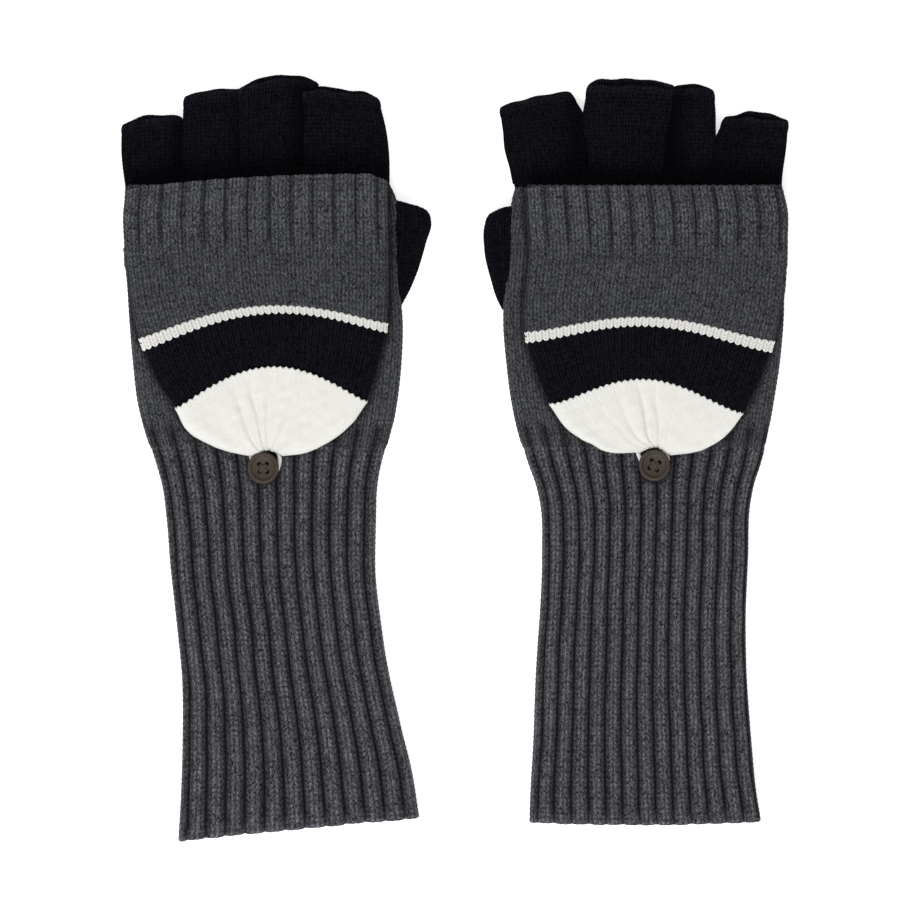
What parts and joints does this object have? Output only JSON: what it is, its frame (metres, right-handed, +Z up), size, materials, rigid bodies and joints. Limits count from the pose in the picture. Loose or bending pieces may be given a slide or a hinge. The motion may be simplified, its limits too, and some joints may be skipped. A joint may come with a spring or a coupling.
{
  "type": "convertible flip-top mittens",
  "caption": "Pair of long-cuffed knitted mittens with open fingertips and a striped mitten flap on each, hinged at the knuckles and buttoned back at the wrist.",
  "frame": {"origin": "on the table, under the middle of the pair's box", "axes": "+X to the right across the pair seen from above, +Y from the cuffs to the fingertips, +Z up out of the back of the hands"},
  "size_m": [0.2468, 0.2794, 0.0196],
  "materials": {
    "grey_knit": "heathered charcoal knit, matt",
    "black_knit": "near-black fine knit, matt",
    "white_knit": "off-white knit, matt",
    "white_cord": "off-white yarn loop",
    "button": "dark brown imitation horn, satin",
    "sewing_thread": "taupe sewing thread"
  },
  "bodies": {
    "left_hand_body": {"left_cuff": "grey_knit", "left_hand_body": "grey_knit", "left_knuckle_band": "black_knit", "left_little_finger": "black_knit", "left_ring_finger": "black_knit", "left_middle_finger": "black_knit", "left_index_finger": "black_knit", "left_flap_seam": "grey_knit"},
    "left_thumb_body": {"left_thumb": "black_knit"},
    "left_flap_body": {"left_flap_back_panel": "grey_knit", "left_flap_palm_panel": "grey_knit", "left_flap_rib_band": "grey_knit", "left_flap_white_stripe": "white_knit", "left_flap_black_band": "black_knit", "left_flap_white_tip": "white_knit", "left_button_loop": "white_cord"},
    "left_button_body": {"left_button": "button", "left_button_thread": "sewing_thread"},
    "right_hand_body": {"right_cuff": "grey_knit", "right_hand_body": "grey_knit", "right_knuckle_band": "black_knit", "right_little_finger": "black_knit", "right_ring_finger": "black_knit", "right_middle_finger": "black_knit", "right_index_finger": "black_knit", "right_flap_seam": "grey_knit"},
    "right_thumb_body": {"right_thumb": "black_knit"},
    "right_flap_body": {"right_flap_back_panel": "grey_knit", "right_flap_palm_panel": "grey_knit", "right_flap_rib_band": "grey_knit", "right_flap_white_stripe": "white_knit", "right_flap_black_band": "black_knit", "right_flap_white_tip": "white_knit", "right_button_loop": "white_cord"},
    "right_button_body": {"right_button": "button", "right_button_thread": "sewing_thread"}
  },
  "joints": [
    {"name": "left_flap_hinge", "type": "hinge", "parent": "left_hand_body", "child": "left_flap_body", "pos_m": [-0.0738, 0.0993, 0.00985], "axis": [-1, 0, 0], "range_deg": [0, 180], "deforming": ["left_flap_rib_band", "left_flap_palm_panel", "left_button_loop"]},
    {"name": "left_thumb_swing", "type": "hinge", "parent": "left_hand_body", "child": "left_thumb_body", "pos_m": [-0.0203, 0.0563, 0.0048], "axis": [0, 0, -1], "range_deg": [0, 40]},
    {"name": "left_button_swivel", "type": "hinge", "parent": "left_hand_body", "child": "left_button_body", "pos_m": [-0.0707, -0.0047, 0.0107], "axis": [0, 0, 1], "range_deg": [-20, 20], "stiffness_Nm_per_rad": 0.0001},
    {"name": "right_flap_hinge", "type": "hinge", "parent": "right_hand_body", "child": "right_flap_body", "pos_m": [0.0732, 0.0993, 0.00985], "axis": [-1, 0, 0], "range_deg": [0, 180], "deforming": ["right_flap_rib_band", "right_flap_palm_panel", "right_button_loop"]},
    {"name": "right_thumb_swing", "type": "hinge", "parent": "right_hand_body", "child": "right_thumb_body", "pos_m": [0.0198, 0.0554, 0.0048], "axis": [0, 0, 1], "range_deg": [0, 40]},
    {"name": "right_button_swivel", "type": "hinge", "parent": "right_hand_body", "child": "right_button_body", "pos_m": [0.0739, -0.0037, 0.0107], "axis": [0, 0, 1], "range_deg": [-20, 20], "stiffness_Nm_per_rad": 0.0001},
    {"name": "right_glove_lift", "type": "slide", "parent": "left_hand_body", "child": "right_hand_body", "axis": [0, 0, 1], "range_m": [0, 0.08]}
  ]
}
